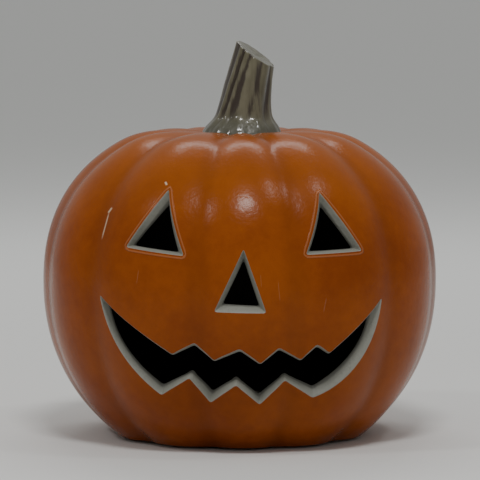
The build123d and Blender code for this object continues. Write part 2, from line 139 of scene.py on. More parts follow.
class Graph:
    """A material's node tree with its Principled shader, built through one node-making method."""

    def __init__(self, name: str) -> None:
        """Make an empty material of that name."""
        self.material = bpy.data.materials.new(name)
        self.material.use_nodes = True
        self.tree = self.material.node_tree
        self.shader = self.tree.nodes["Principled BSDF"]

    def node(self, kind: str, settings: dict | None = None, inputs: dict | None = None) -> bpy.types.Node:
        """Make any node.

        Args:
            kind: The node's type name.
            settings: Properties, set before the sockets.
            inputs: Values, signals or sockets by socket name or index.

        Returns:
            The node.
        """
        made = self.tree.nodes.new(kind)
        for key, value in (settings or {}).items():
            setattr(made, key, value)
        for key, value in (inputs or {}).items():
            self.plug(made.inputs[key], value)
        return made

    def plug(self, socket: bpy.types.NodeSocket, value: object) -> None:
        """Give a socket a value, or link a signal or socket to it."""
        if isinstance(value, Signal):
            value = value.socket
        if isinstance(value, bpy.types.NodeSocket):
            self.tree.links.new(value, socket)
        elif socket.type == "RGBA" and len(value) == 3:
            socket.default_value = (*value, 1.0)
        else:
            socket.default_value = value

    @cached_property
    def place(self) -> bpy.types.NodeSocket:
        """Object coordinates, in metres."""
        return self.node("ShaderNodeTexCoord").outputs["Object"]

    def axis(self, name: str) -> Signal:
        """One of the object coordinates, X, Y or Z."""
        return Signal(self, self.node("ShaderNodeSeparateXYZ", {}, {0: self.place}).outputs[name])

    def attribute(self, name: str) -> Signal:
        """A number stored on the mesh."""
        settings = {"attribute_name": name, "attribute_type": "GEOMETRY"}
        return Signal(self, self.node("ShaderNodeAttribute", settings).outputs["Fac"])

    def stretched(self, scale: Colour) -> bpy.types.NodeSocket:
        """Object coordinates scaled along each axis."""
        return self.node("ShaderNodeMapping", {}, {"Vector": self.place, "Scale": scale}).outputs[0]

    def noise(self, scale: float, detail: float = 2.0, rough: float = 0.5,
              place: bpy.types.NodeSocket | None = None, warp: float = 0.0) -> Signal:
        """Smooth noise from 0 to 1, with scale in cells per metre."""
        inputs = {"Vector": place or self.place, "Scale": scale, "Detail": detail,
                  "Roughness": rough, "Distortion": warp}
        return Signal(self, self.node("ShaderNodeTexNoise", {}, inputs).outputs[0])

    def blend(self, share: Signal | float, first: object, second: object) -> bpy.types.NodeSocket:
        """Mix two colours by a share."""
        made = self.node("ShaderNodeMix", {"data_type": "RGBA"}, {0: share, 6: first, 7: second})
        return made.outputs[2]

    def scratch(self, start: tuple[float, float], end: tuple[float, float], width: float) -> Signal:
        """1 along a thin line on the front.

        Args:
            start: One end as (x, z) in millimetres.
            end: The other end.
            width: The line's half width in millimetres.

        Returns:
            The mask.
        """
        run = Vector(end) - Vector(start)
        way = run.normalized()
        x, z = self.axis("X") * 1000 - start[0], self.axis("Z") * 1000 - start[1]
        along, aside = x * way.x + z * way.y, (x * way.y - z * way.x).absolute()
        middle = run.length / 2
        ends = (along - middle).absolute().step(middle, middle * 0.5)
        broken = self.noise(260, 2, 0.6).step(0.22, 0.42)
        return aside.step(width, width * 0.3) * ends * self.axis("Y").step(-0.03, -0.05) * broken

    def bump(self, height: Signal, depth: float,
             below: bpy.types.NodeSocket | None = None) -> bpy.types.NodeSocket:
        """A normal from a height of 0 to 1 that stands for a depth in metres."""
        inputs = {"Height": height, "Distance": depth, "Strength": 1.0}
        if below is not None:
            inputs["Normal"] = below
        return self.node("ShaderNodeBump", {}, inputs).outputs[0]

    def finish(self, **sockets: object) -> bpy.types.Material:
        """Set the shader's sockets, named with underscores for spaces, and return the material."""
        for key, value in sockets.items():
            self.plug(self.shader.inputs[key.replace("_", " ")], value)
        return self.material


# ---- mesh kit


def to_object(name: str, bm: bmesh.types.BMesh, finishes: Sequence[bpy.types.Material],
              crease: float | None = 30.0) -> bpy.types.Object:
    """Turn a bmesh into a shown object.

    Args:
        name: The object's name.
        bm: The mesh, which is freed.
        finishes: Materials, in slot order.
        crease: Edges sharper than this many degrees stay sharp; None shades all of them flat.

    Returns:
        The object, at the origin.
    """
    mesh = bpy.data.meshes.new(name)
    bm.to_mesh(mesh)
    bm.free()
    return show(name, mesh, finishes, crease)


def show(name: str, mesh: bpy.types.Mesh, finishes: Sequence[bpy.types.Material],
         crease: float | None) -> bpy.types.Object:
    """Link a mesh as an object, with its finishes and its smooth shading."""
    for finish in finishes:
        if finish.name not in mesh.materials:
            mesh.materials.append(finish)
    mesh.polygons.foreach_set("use_smooth", [crease is not None] * len(mesh.polygons))
    if crease is not None:
        mesh.set_sharp_from_angle(angle=math.radians(crease))
    return link(bpy.data.objects.new(name, mesh))


def store(mesh: bpy.types.Mesh, name: str, values: Sequence[float]) -> None:
    """Keep one number for each vertex as a named attribute."""
    mesh.attributes.new(name, "FLOAT", "POINT").data.foreach_set("value", values)


def link(item: bpy.types.Object) -> bpy.types.Object:
    """Put an object in the scene and return it."""
    bpy.context.scene.collection.objects.link(item)
    return item


def closed(loop: list) -> Iterable[tuple]:
    """Each item of a loop with the next one, round to the first."""
    return zip(loop, loop[1:] + loop[:1])


def turn_round(bm: bmesh.types.BMesh, section: list, steps: int) -> None:
    """Spin a section once about the upright axis and merge its seam."""
    bmesh.ops.spin(bm, geom=section, cent=(0, 0, 0), axis=(0, 0, 1), dvec=(0, 0, 0), angle=2 * math.pi,
                   steps=steps, use_merge=True, use_normal_flip=False, use_duplicate=False)


def extend(bm: bmesh.types.BMesh, edges: list) -> tuple[list, dict]:
    """Extrude a loop of edges.

    Args:
        bm: The mesh.
        edges: The loop.

    Returns:
        The new loop's edges, and for each new vertex the one that it grew from.
    """
    made = bmesh.ops.extrude_edge_only(bm, edges=edges)["geom"]
    fresh = {v for v in made if isinstance(v, bmesh.types.BMVert)}
    loop = [e for e in made if isinstance(e, bmesh.types.BMEdge) and all(v in fresh for v in e.verts)]
    grown = {v: next(e.other_vert(v) for e in v.link_edges if e.other_vert(v) not in fresh) for v in fresh}
    return loop, grown


def smoothstep(value: float, low: float, high: float) -> float:
    """Ease from 0 at low to 1 at high."""
    share = min(max((value - low) / (high - low), 0.0), 1.0)
    return share * share * (3 - 2 * share)


def solve(reached: Callable[[float], bool], low: float, high: float) -> float:
    """Value between low and high at which a test, false at low, turns true."""
    for _ in range(26):
        middle = (low + high) / 2
        low, high = (low, middle) if reached(middle) else (middle, high)
    return (low + high) / 2


# ---- the body's shape


@dataclass(frozen=True)
class Skin:
    """The ribbed skin: a superellipse meridian with a sunk crown, drawn in along the grooves.

    Lengths are millimetres. Azimuths are degrees from the front, positive to the right.
    """

    radius: float = 127.6
    equator: float = 99.7
    upper: float = 107.3
    lower: float = 123.8
    upper_power: float = 2.26
    lower_power: float = 2.14
    dimple: float = 12.5
    dimple_radius: float = 78.0
    wall: float = 7.0
    groove: float = 2.8
    groove_power: float = 0.55
    groove_fade: float = 60.0
    foot: float = 1.5
    floor: float = 9.0
    crown_hole: float = 9.0
    grooves: tuple[float, ...] = (-78, -47, -12, 16, 49, 81, 109.71, 138.43, 167.14, 195.86, 224.57, 253.29)
    rounding: float = 0.30

    def meridian(self, slope: float, inset: float) -> tuple[float, float]:
        """Radius and height on the meridian.

        Args:
            slope: -90 at the foot's middle to 90 at the crown's.
            inset: Distance inside the smooth outer skin.

        Returns:
            (radius, height).
        """
        step = 0.05
        (r1, z1), (r2, z2) = self._curve(slope - step), self._curve(slope + step)
        along = math.hypot(r2 - r1, z2 - z1)
        radius, height = self._curve(slope)
        return radius - (z2 - z1) / along * inset, height + (r2 - r1) / along * inset

    def _curve(self, slope: float) -> tuple[float, float]:
        """Radius and height on the smooth outer curve."""
        c, s = math.cos(math.radians(slope)), math.sin(math.radians(slope))
        power = self.upper_power if s > 0 else self.lower_power
        height = self.upper if s > 0 else -self.lower
        radius = self.radius * abs(c) ** (2 / power)
        sunk = self.dimple * max(1 - (radius / self.dimple_radius) ** 2, 0) ** 2 if s > 0 else 0
        return radius, self.equator + height * abs(s) ** (2 / power) - sunk

    def share(self, azimuth: float) -> float:
        """How far across its lobe an azimuth lies, 0 to 1."""
        first = self.grooves[0]
        turned = (azimuth - first) % 360 + first
        ends = (*self.grooves, first + 360)
        for low, high in zip(ends, ends[1:]):
            if turned <= high:
                return (turned - low) / (high - low)
        return 0.0

    def lowness(self, azimuth: float) -> float:
        """1 in a groove and 0 on a lobe's crest, with the groove's floor rounded by glaze."""
        wave = abs(math.sin(math.pi * self.share(azimuth)))
        soft = (wave * wave + self.rounding ** 2) ** (self.groove_power / 2)
        floor = self.rounding ** self.groove_power
        return 1 - (soft - floor) / (1 - floor)

    def at(self, slope: float, azimuth: float, depth: float,
           lowness: float | None = None) -> tuple[float, float]:
        """Radius and height a depth under the ribbed skin."""
        low = self.lowness(azimuth) if lowness is None else lowness
        radius, _ = self._curve(slope)
        return self.meridian(slope, depth + self.groove * low * min(radius / self.groove_fade, 1))

    def point(self, azimuth: float, height: float, depth: float) -> Vector:
        """The point at a height and a depth under the ribbed skin."""
        low = self.lowness(azimuth)
        slope = solve(lambda s: self.at(s, azimuth, depth, low)[1] > height, -70, 80)
        return place(azimuth, *self.at(slope, azimuth, depth, low))

    def crown_height(self, radius: float, azimuth: float) -> float:
        """Height of the crown at a radius well inside its rim."""
        low = self.lowness(azimuth)
        slope = solve(lambda s: self.at(s, azimuth, 0, low)[0] < radius, 40, 89.9)
        return self.at(slope, azimuth, 0, low)[1]


def place(azimuth: float, radius: float, height: float) -> Vector:
    """Millimetre point at an azimuth from the front."""
    a = math.radians(azimuth)
    return Vector((radius * math.sin(a), -radius * math.cos(a), height))


@dataclass(frozen=True)
class Outline:
    """A cut opening: matching corners on the outer and the inner skin, as (azimuth, height).

    The corners that arcs numbers aren't corners but the middles of arcs between their neighbours.
    """

    outer: tuple[tuple[float, float], ...]
    inner: tuple[tuple[float, float], ...]
    arcs: tuple[int, ...] = ()
    corner: float = 1.9

    def loops(self, unit: float, spacing: float = 2.4) -> tuple[list[Vector], list[Vector]]:
        """Both outlines as evenly filled loops, in millimetres along the skin.

        Args:
            unit: Millimetres per degree of azimuth.
            spacing: Distance between points on the outer outline.

        Returns:
            The outer and the inner loop, with matching points.
        """
        flat = [[Vector((a * unit, h)) for a, h in side] for side in (self.outer, self.inner)]
        made: tuple[list[Vector], list[Vector]] = ([], [])
        count = len(self.outer)
        spans = [self._span(flat, i, spacing) for i in range(count) if i not in self.arcs]
        for side in (0, 1):
            runs = [span[side] for span in spans]
            for before, after in zip(runs[-1:] + runs[:-1], runs):
                made[side].extend(self._rounded(before, after))
                made[side].extend(after[1:-1])
        return made

    def _span(self, flat: list[list[Vector]], start: int,
              spacing: float) -> tuple[list[Vector], list[Vector]]:
        """Points of the run that leaves a corner, on both sides, with both its ends."""
        count = len(flat[0])
        middle = (start + 1) % count
        curved = middle in self.arcs
        end = (start + 2) % count if curved else middle
        steps = max(3, round((flat[0][end] - flat[0][start]).length / spacing))
        result = []
        for side in flat:
            a, b = side[start], side[end]
            if curved:
                pull = 2 * side[middle] - (a + b) / 2
                run = [(1 - t) ** 2 * a + 2 * t * (1 - t) * pull + t * t * b for t in
                       (i / steps for i in range(steps + 1))]
            else:
                run = [a.lerp(b, i / steps) for i in range(steps + 1)]
            result.append(run)
        return result[0], result[1]

    def _rounded(self, before: list[Vector], after: list[Vector]) -> list[Vector]:
        """Three points that round the corner between two runs."""
        tip = after[0]
        back = tip + (before[-2] - tip).normalized() * min(self.corner, (before[-2] - tip).length * 0.6)
        on = tip + (after[1] - tip).normalized() * min(self.corner, (after[1] - tip).length * 0.6)
        return [back, (back + 2 * tip + on) / 4, on]


LEFT_EYE = Outline(((-34.3, 129.6), (-24.2, 165.1), (-16.2, 125.4)),
                   ((-33.0, 130.4), (-24.1, 154.2), (-19.1, 127.6)))
RIGHT_EYE = Outline(((19.2, 126.0), (26.8, 163.3), (37.0, 127.0)),
                    ((21.6, 127.9), (27.5, 152.8), (35.2, 128.6)))
NOSE = Outline(((-7.2, 91.7), (1.0, 130.3), (7.2, 91.1)),
               ((-4.6, 96.9), (1.1, 121.6), (5.2, 95.7)))
MOUTH = Outline(((-44.0, 98.8), (-19.9, 64.7), (-13.2, 72.0), (-7.6, 61.4), (-0.1, 68.9), (5.9, 59.5),
                 (11.2, 69.2), (18.1, 61.1), (22.5, 70.5), (26.6, 64.9), (44.4, 96.9), (37.3, 57.7),
                 (23.8, 36.0), (13.8, 48.1), (6.3, 32.7), (-1.2, 45.6), (-9.7, 33.5), (-15.6, 49.5),
                 (-25.5, 37.4), (-37.0, 64.5)),
                ((-42.0, 91.5), (-21.0, 62.9), (-14.0, 69.6), (-8.0, 59.6), (0.0, 66.5), (6.2, 57.8),
                 (11.9, 66.8), (19.2, 59.3), (23.8, 68.0), (28.0, 63.0), (40.8, 84.7), (35.6, 62.5),
                 (24.5, 43.8), (14.2, 52.7), (6.1, 40.0), (-1.1, 51.2), (-9.1, 41.7), (-15.2, 54.5),
                 (-25.7, 44.7), (-36.6, 67.0)), arcs=(11, 19))


# ---- finishes


class Layer(Enum):
    """The body's material slots."""

    SKIN = 0
    CUT = 1
    INSIDE = 2


@dataclass(frozen=True)
class OrangeGlaze:
    """Sponged orange paint under a clear gloss glaze with orange peel."""

    deep: Colour = (0.200, 0.036, 0.0004)
    light: Colour = (0.295, 0.064, 0.001)
    # Darker orange: painted shade in the grooves, and also the colour of the random dark specks.
    groove: Colour = (0.125, 0.024, 0.001)
    # Paler orange for the top of the body: painted light falling from above.
    crown: Colour = (0.300, 0.078, 0.004)
    # Paler orange for the line round the eyes: a painted highlight where the raised outline catches the
    # light.
    eye_line_highlight: Colour = (0.45, 0.16, 0.06)
    bare: Colour = (0.62, 0.50, 0.34)
    rough: float = 0.22
    scratches: tuple = (
        ((-46.2, 169.2), (-45.0, 167.0), 0.9, 0.9), ((-81.0, 150.5), (-86.0, 132.0), 0.55, 0.6),
        ((-79.3, 152.5), (-82.2, 148.5), 0.7, 0.7), ((23.0, 112.0), (24.5, 97.0), 0.4, 0.07),
        ((12.5, 116.0), (13.0, 106.0), 0.4, 0.07), ((53.0, 100.0), (51.0, 90.0), 0.4, 0.09),
        ((-62.0, 117.0), (-63.5, 107.0), 0.4, 0.08))

    def build(self) -> bpy.types.Material:
        """Return the material."""
        g = Graph("orange_glaze")
        broad = g.noise(14, 3, 0.55)
        fine = g.noise(160, 4, 0.6)
        mottle = (broad * 0.75 + fine * 0.25).step(0.3, 0.72)
        colour = g.blend(mottle, self.deep, self.light)
        # Painted light: the body is blended towards the paler crown colour with height, so it is lighter at
        # the top where the light falls from above.
        height = g.axis("Z")
        colour = g.blend(height.step(0.13, 0.19) * 0.5, colour, self.crown)
        # Painted shade: the grooves are darkened towards the groove colour.
        low = g.attribute("groove")
        colour = g.blend(low.step(0.5, 1.0) * 0.22, colour, self.groove)
        specks = g.noise(900, 2, 0.5).step(0.70, 0.78)
        colour = g.blend(specks * 0.2, colour, self.groove)
        # Painted highlight: a paler line just outside the eyes, where the raised outline catches the light;
        # the bump gives the line its shape.
        ring = g.attribute("eye_gap")
        line = ring.step(0.9, 1.5) * ring.step(2.6, 1.9)
        colour = g.blend(line * 0.5, colour, self.eye_line_highlight)
        for start, end, width, strength in self.scratches:
            colour = g.blend(g.scratch(start, end, width) * strength, colour, self.bare)
        peel = g.noise(420, 2, 0.5) * 0.35 + g.noise(46, 2, 0.5) * 1.0
        normal = g.bump(peel, 0.00035)
        normal = g.bump(line, 0.0004, normal)
        gloss = self.rough + g.noise(60, 3, 0.6) * 0.06
        return g.finish(Base_Color=colour, Roughness=gloss, Normal=normal, Specular_IOR_Level=0.17)


@dataclass(frozen=True)
class CutClay:
    """Pale clay where the face was cut: smooth and lighter by the skin, with painted shade darkening it
    towards the inside.
    """

    pale: Colour = (0.24, 0.24, 0.205)
    # Darker clay: painted shade deep in the opening, and also the colour of the random blotches.
    dark: Colour = (0.12, 0.118, 0.100)

    def build(self) -> bpy.types.Material:
        """Return the material."""
        g = Graph("cut_clay")
        depth = g.attribute("depth") + (g.noise(70, 3, 0.6) - 0.5) * 1.2
        # Painted shade: the cut wall darkens with its depth into the opening.
        colour = g.blend(depth.step(4.0, 5.4), self.pale, self.dark)
        colour = g.blend(g.noise(240, 4, 0.65).step(0.55, 0.75) * 0.35, colour, self.dark)
        normal = g.bump(g.noise(300, 3, 0.6), 0.0004)
        return g.finish(Base_Color=colour, Roughness=0.55, Normal=normal)


@dataclass(frozen=True)
class InsideNearBlack:
    """Near-black colour inside the body, with a slight random tone."""

    colour: Colour = (0.018, 0.012, 0.008)

    def build(self) -> bpy.types.Material:
        """Return the material."""
        g = Graph("inside_near_black")
        tone = g.blend(g.noise(40, 3, 0.6), self.colour, tuple(c * 1.8 for c in self.colour))
        return g.finish(Base_Color=tone, Roughness=0.7, Normal=g.bump(g.noise(120, 3, 0.5), 0.0006))


@dataclass(frozen=True)
class StemGlaze:
    """Olive grey glaze with dark brown settled in the flutes and a paler cut top, which on its rounded rim is
    a painted highlight.
    """

    ridge: Colour = (0.079, 0.070, 0.036)
    pale: Colour = (0.140, 0.127, 0.079)
    brown: Colour = (0.022, 0.011, 0.005)
    flare: Colour = (0.063, 0.063, 0.042)
    # Paler colour of the cut top, and a painted highlight on its rounded rim.
    top: Colour = (0.125, 0.122, 0.085)

    def build(self) -> bpy.types.Material:
        """Return the material."""
        g = Graph("stem_glaze")
        streak = g.noise(190, 5, 0.7, g.stretched((1, 1, 0.10)), 0.4)
        cloud = g.noise(110, 3, 0.6, g.stretched((1, 1, 0.3))).step(0.35, 0.7)
        colour = g.blend(cloud, self.ridge, self.pale)
        height = g.axis("Z")
        above = height.step(0.199, 0.211)
        settled = (g.attribute("flute") * 0.55 + streak).step(0.56, 0.80) * above
        colour = g.blend(settled * 0.92, colour, self.brown)
        colour = g.blend(height.step(0.209, 0.198) * 0.8, colour, self.flare)
        # The cut top and its rounded rim are paler: greyish on the cut face, and on the rim a painted
        # highlight where it catches the light.
        colour = g.blend(g.attribute("top").step(0.02, 0.4) * 0.8, colour, self.top)
        lumps = g.noise(170, 2, 0.5, g.stretched((1, 1, 0.25)))
        normal = g.bump(lumps, 0.0016)
        return g.finish(Base_Color=colour, Roughness=0.30 + streak * 0.1, Normal=normal,
                        Specular_IOR_Level=0.35, Coat_Weight=0.6, Coat_Roughness=0.04)


@dataclass(frozen=True)
class Fibre:
    """Felt or foam: a soft dark body with a fine broken surface."""

    name: str
    colour: Colour
    scale: float
    depth: float
    rough: float = 0.95

    def build(self) -> bpy.types.Material:
        """Return the material."""
        g = Graph(self.name)
        grain = g.noise(self.scale, 4, 0.7)
        colour = g.blend(grain, self.colour, tuple(min(c * 2.4, 1) for c in self.colour))
        return g.finish(Base_Color=colour, Roughness=self.rough, Sheen_Weight=0.3,
                        Normal=g.bump(grain, self.depth))


@dataclass(frozen=True)
class Plastic:
    """Moulded plastic with a fine texture and slight wear in its tone."""

    name: str
    colour: Colour
    rough: float = 0.5
    grain: float = 1400.0
    depth: float = 0.00006
    glow: float = 0.0
    clear: float = 0.0

    def build(self) -> bpy.types.Material:
        """Return the material."""
        g = Graph(self.name)
        cloud = g.noise(90, 3, 0.6)
        low, high = (tuple(min(c * tone, 1) for c in self.colour) for tone in (0.85, 1.15))
        colour = g.blend(cloud, low, high)
        normal = g.bump(g.noise(self.grain, 2, 0.6), self.depth)
        return g.finish(Base_Color=colour, Roughness=self.rough + cloud * 0.1, Normal=normal,
                        Transmission_Weight=self.clear, Subsurface_Weight=self.glow,
                        Subsurface_Radius=(0.004, 0.003, 0.002))


@dataclass(frozen=True)
class Metal:
    """Plated or turned metal with fine marks."""

    name: str
    colour: Colour
    rough: float = 0.3

    def build(self) -> bpy.types.Material:
        """Return the material."""
        g = Graph(self.name)
        marks = g.noise(1200, 3, 0.6, g.stretched((1, 0.12, 1)))
        return g.finish(Base_Color=self.colour, Metallic=1.0, Roughness=self.rough + marks * 0.15,
                        Normal=g.bump(marks, 0.00003))


@dataclass(frozen=True)
class CellSleeve:
    """A cell's plain film sleeve: dark, with a copper coloured band towards the nub."""

    dark: Colour = (0.03, 0.032, 0.036)
    band: Colour = (0.55, 0.24, 0.08)
    steel: Colour = (0.6, 0.6, 0.58)

    def build(self, name: str, nub: float) -> bpy.types.Material:
        """Return one cell's material.

        Args:
            name: The material's name.
            nub: +1 or -1, the end along Y that the nub faces.
        """
        g = Graph(name)
        along = g.axis("Y") * nub
        colour = g.blend(along.step(0.0092, 0.0094), self.dark, self.band)
        ends = along.step(0.0219, 0.0221).most(along.step(-0.0202, -0.0204))
        colour = g.blend(ends, colour, self.steel)
        return g.finish(Base_Color=colour, Metallic=0.35 + ends * 0.65, Roughness=0.28 + g.noise(300) * 0.1)


# ---- the body


@dataclass
class PumpkinBody:
    """The ceramic body: a ribbed hollow shell with its face cut through.

    Lengths are millimetres. The face fields bound where depth and distance to the eyes are stored.
    """

    skin: Skin
    lobe_steps: int = 30
    outer_rows: int = 104
    inner_rows: int = 44
    recess_radius: float = 49.5
    recess_top: float = 3.4
    hole_radius: float = 39.0
    rim: float = 1.1
    lip: float = 1.8
    front: float = -150.0
    back: float = -50.0
    tooth_ease: float = 0.65
    unevenness: float = 0.35
    hollows_round: float = 3.1
    hollows_up: float = 5.2
    crowding: float = 0.62
    glazed_base_rows: int = 6
    foot_edge: float = 0.9
    foot_slopes: tuple[float, float] = (-80, -5)
    crown_slopes: tuple[float, float] = (40, 89.9)
    face_back: float = -60.0
    face_heights: tuple[float, float] = (25.0, 172.0)
    face_azimuth: float = 52.0
    eyes_from: float = 115.0
    across: float = 0.93
    far: float = 9.0

    def column(self, index: int) -> tuple[float, float]:
        """Azimuth and groove lowness of one of the spin's steps, closer together by the grooves."""
        ends = (*self.skin.grooves, self.skin.grooves[0] + 360)
        lobe, step = divmod(index, self.lobe_steps)
        even = step / self.lobe_steps
        share = even - self.crowding * math.sin(2 * math.pi * even) / (2 * math.pi)
        azimuth = ends[lobe] + (ends[lobe + 1] - ends[lobe]) * share
        return azimuth, self.skin.lowness(azimuth)

    def rows(self) -> list[Callable[..., tuple[float, float]]]:
        """One function for each point of the wall's section, giving radius and height at an azimuth."""
        skin = self.skin

        def on_skin(t: float, depth: float):
            """A point a share of the way from the foot to the crown."""
            side = 0 if depth == 0 else 2
            return lambda az, low, ends: skin.at(ends[side] + (ends[side + 1] - ends[side]) * t, az,
                                                 depth + self.uneven(az, t), low)

        def foot(inwards: float, up: float):
            """A point measured from where the outer skin meets the foot."""
            return lambda az, low, ends: (skin.at(ends[0], az, 0, low)[0] - inwards, skin.foot + up)

        def fixed(radius: float, height: float):
            """A point that is the same all the way round."""
            return lambda az, low, ends: (radius, height)

        outer = [on_skin(1 - i / self.outer_rows, 0) for i in range(self.outer_rows + 1)]
        base = [foot(0.5, 0.35), foot(1.4, 0.0), foot(8.0, 0.0), fixed(self.recess_radius + 0.5, skin.foot),
                fixed(self.recess_radius, skin.foot + 0.5), fixed(self.recess_radius, self.recess_top),
                fixed(self.hole_radius + 0.4, self.recess_top),
                fixed(self.hole_radius, self.recess_top + 0.4),
                fixed(self.hole_radius, skin.floor - 0.6), fixed(self.hole_radius + 0.6, skin.floor),
                fixed(self.hole_radius + 16, skin.floor)]
        inner = [on_skin(i / self.inner_rows, skin.wall) for i in range(self.inner_rows + 1)]
        return outer + base + inner

    def uneven(self, azimuth: float, t: float) -> float:
        """A hand-finished skin's slow hollows, never proud of the true shape."""
        a = math.radians(azimuth)
        around = self.hollows_round
        wave = noise.noise(Vector((around * math.sin(a), around * math.cos(a), self.hollows_up * t)))
        return self.unevenness * (0.5 + 0.5 * wave) * smoothstep(t, 0.0, 0.08) * smoothstep(1 - t, 0.0, 0.1)

    def shell(self) -> bpy.types.Mesh:
        """Spin the wall's section and draw the grooves into it."""
        skin, rows = self.skin, self.rows()
        bm = bmesh.new()
        row_of = bm.verts.layers.int.new("row")
        verts = []
        for index in range(len(rows)):
            vert = bm.verts.new((1, 0, index))
            vert[row_of] = index
            verts.append(vert)
        edges = [bm.edges.new(pair) for pair in closed(verts)]
        steps = self.lobe_steps * len(skin.grooves)
        turn_round(bm, verts + edges, steps)
        columns = []
        for index in range(steps):
            azimuth, low = self.column(index)
            ends = []
            for depth, floor in ((0, skin.foot + self.foot_edge), (skin.wall, skin.floor)):
                ends.append(solve(lambda s: skin.at(s, azimuth, depth, low)[1] > floor, *self.foot_slopes))
                ends.append(solve(lambda s: skin.at(s, azimuth, depth, low)[0] < skin.crown_hole,
                                  *self.crown_slopes))
            columns.append((azimuth, low, ends))
        groove = bm.verts.layers.float.new("groove")
        for vert in bm.verts:
            turn = math.degrees(math.atan2(vert.co.y, vert.co.x)) % 360
            azimuth, low, ends = columns[round(turn / 360 * steps) % steps]
            radius, height = rows[vert[row_of]](azimuth, low, ends)
            vert.co = place(azimuth, radius, height) * MM
            vert[groove] = low * min(radius / skin.groove_fade, 1)
        inside_from = self.outer_rows + self.glazed_base_rows
        for face in bm.faces:
            deep = min(vert[row_of] for vert in face.verts) > inside_from
            face.material_index = Layer.INSIDE.value if deep else Layer.SKIN.value
        bmesh.ops.recalc_face_normals(bm, faces=bm.faces)
        mesh = bpy.data.meshes.new("body")
        bm.to_mesh(mesh)
        bm.free()
        return mesh

    def cutter(self, outline: Outline, bm: bmesh.types.BMesh) -> None:
        """Add one opening's cutting form: rings from outside the skin to inside it, rounded at rim and lip.

        Args:
            outline: The opening.
            bm: The mesh that takes the closed form.
        """
        skin = self.skin
        unit = math.radians(1) * skin.radius
        outer, inner = outline.loops(unit)
        turn = sum(a.cross(b) for a, b in closed(outer))
        sign = 1 if turn > 0 else -1
        runs = [(n - p).normalized() for p, n in closed(outer)]
        bends = [sign * before.cross(after) < -0.1 for before, after in zip(runs[-1:] + runs[:-1], runs)]
        sharp = [max(bends[i - 1], bends[i], bends[(i + 1) % len(bends)]) for i in range(len(bends))]
        rings = [(-0.15, 0.0, self.flare(-0.15, self.rim), self.front)]
        rings += [(d, d / skin.wall, self.flare(d, self.rim), None) for d in (-0.15, 0.05, 0.3, 0.65, 1.1)]
        rings += [(skin.wall * f, f, 0.0, None) for f in (0.4, 0.62)]
        rings += [(skin.wall - d, 1 - d / skin.wall, self.flare(d, self.lip), None)
                  for d in (1.75, 1.2, 0.6, 0.15, -0.2)]
        rings += [(skin.wall + 0.2, 1.0, self.flare(-0.2, self.lip), self.back)]
        loop: list[bmesh.types.BMEdge] = []
        first: list[bmesh.types.BMEdge] = []
        for number, (depth, share, flare, plane) in enumerate(rings):
            flat = [a.lerp(b, min(max(share, 0), 1)) for a, b in zip(outer, inner)]
            normals = [sign * Vector(((n - p).y, -(n - p).x)).normalized()
                       for p, n in zip(flat[-1:] + flat[:-1], flat[1:] + flat[:1])]
            moved = [f + n * flare * (1 - self.tooth_ease * c) for f, n, c in zip(flat, normals, sharp)]
            points = [skin.point(f.x / unit, f.y, depth) for f in moved]
            points = [Vector((p.x, p.y if plane is None else plane, p.z)) * MM for p in points]
            if number == 0:
                verts = [bm.verts.new(p) for p in points]
                loop = [bm.edges.new(pair) for pair in closed(verts)]
                first = loop
                continue
            loop, grown = extend(bm, loop)
            partner = {old: new for new, old in grown.items()}
            verts = [partner[v] for v in verts]
            for vert, point in zip(verts, points):
                vert.co = point
        for edges in (first, loop):
            bmesh.ops.triangle_fill(bm, use_beauty=False, use_dissolve=False, edges=edges, normal=(0, -1, 0))

    @staticmethod
    def flare(depth: float, radius: float) -> float:
        """How far a rounded edge stands back at a depth under it."""
        down = min(max(radius - depth - 0.3, 0), radius)
        return radius - math.sqrt(radius * radius - down * down)

    def build(self) -> bpy.types.Object:
        """Cut the face through the shell and return the piece."""
        finishes = [OrangeGlaze().build(), CutClay().build(), InsideNearBlack().build()]
        shell = self.shell()
        for finish in finishes:
            shell.materials.append(finish)
        body = link(bpy.data.objects.new("shell_blank", shell))
        bm = bmesh.new()
        for outline in (LEFT_EYE, RIGHT_EYE, NOSE, MOUTH):
            self.cutter(outline, bm)
        bmesh.ops.recalc_face_normals(bm, faces=bm.faces)
        cut_mesh = bpy.data.meshes.new("cutter")
        bm.to_mesh(cut_mesh)
        bm.free()
        cut_mesh.materials.append(finishes[Layer.CUT.value])
        tool = link(bpy.data.objects.new("cutter", cut_mesh))
        modifier = body.modifiers.new("cut", "BOOLEAN")
        modifier.operation = "DIFFERENCE"
        modifier.solver = "EXACT"
        modifier.material_mode = "TRANSFER"
        modifier.object = tool
        graph = bpy.context.evaluated_depsgraph_get()
        mesh = bpy.data.meshes.new_from_object(body.evaluated_get(graph), depsgraph=graph)
        mesh.name = "body"
        for item in (body, tool):
            bpy.data.objects.remove(item)
        self.measure(mesh)
        piece = show("body", mesh, finishes, 32.0)
        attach(piece, BODY)
        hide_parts("body_shell")
        return piece

    def measure(self, mesh: bpy.types.Mesh) -> None:
        """Store each vertex's depth in the wall and its distance outside the eyes, in millimetres."""
        skin = self.skin
        unit = math.radians(1) * skin.radius
        eyes = [outline.loops(unit)[0] for outline in (LEFT_EYE, RIGHT_EYE)]
        depths, gaps = [], []
        for vert in mesh.vertices:
            x, y, z = vert.co / MM
            azimuth = math.degrees(math.atan2(x, -y))
            depth, gap = 0.0, self.far
            low, high = self.face_heights
            if y < self.face_back and low < z < high and abs(azimuth) < self.face_azimuth:
                above = skin.point(azimuth, z, 0)
                depth = max(math.hypot(above.x, above.y) - math.hypot(x, y), 0) * self.across
                if z > self.eyes_from:
                    spot = Vector((azimuth * unit, z))
                    gap = min(self.distance(spot, loop) for loop in eyes)
            depths.append(depth)
            gaps.append(min(gap, self.far))
        store(mesh, "depth", depths)
        store(mesh, "eye_gap", gaps)

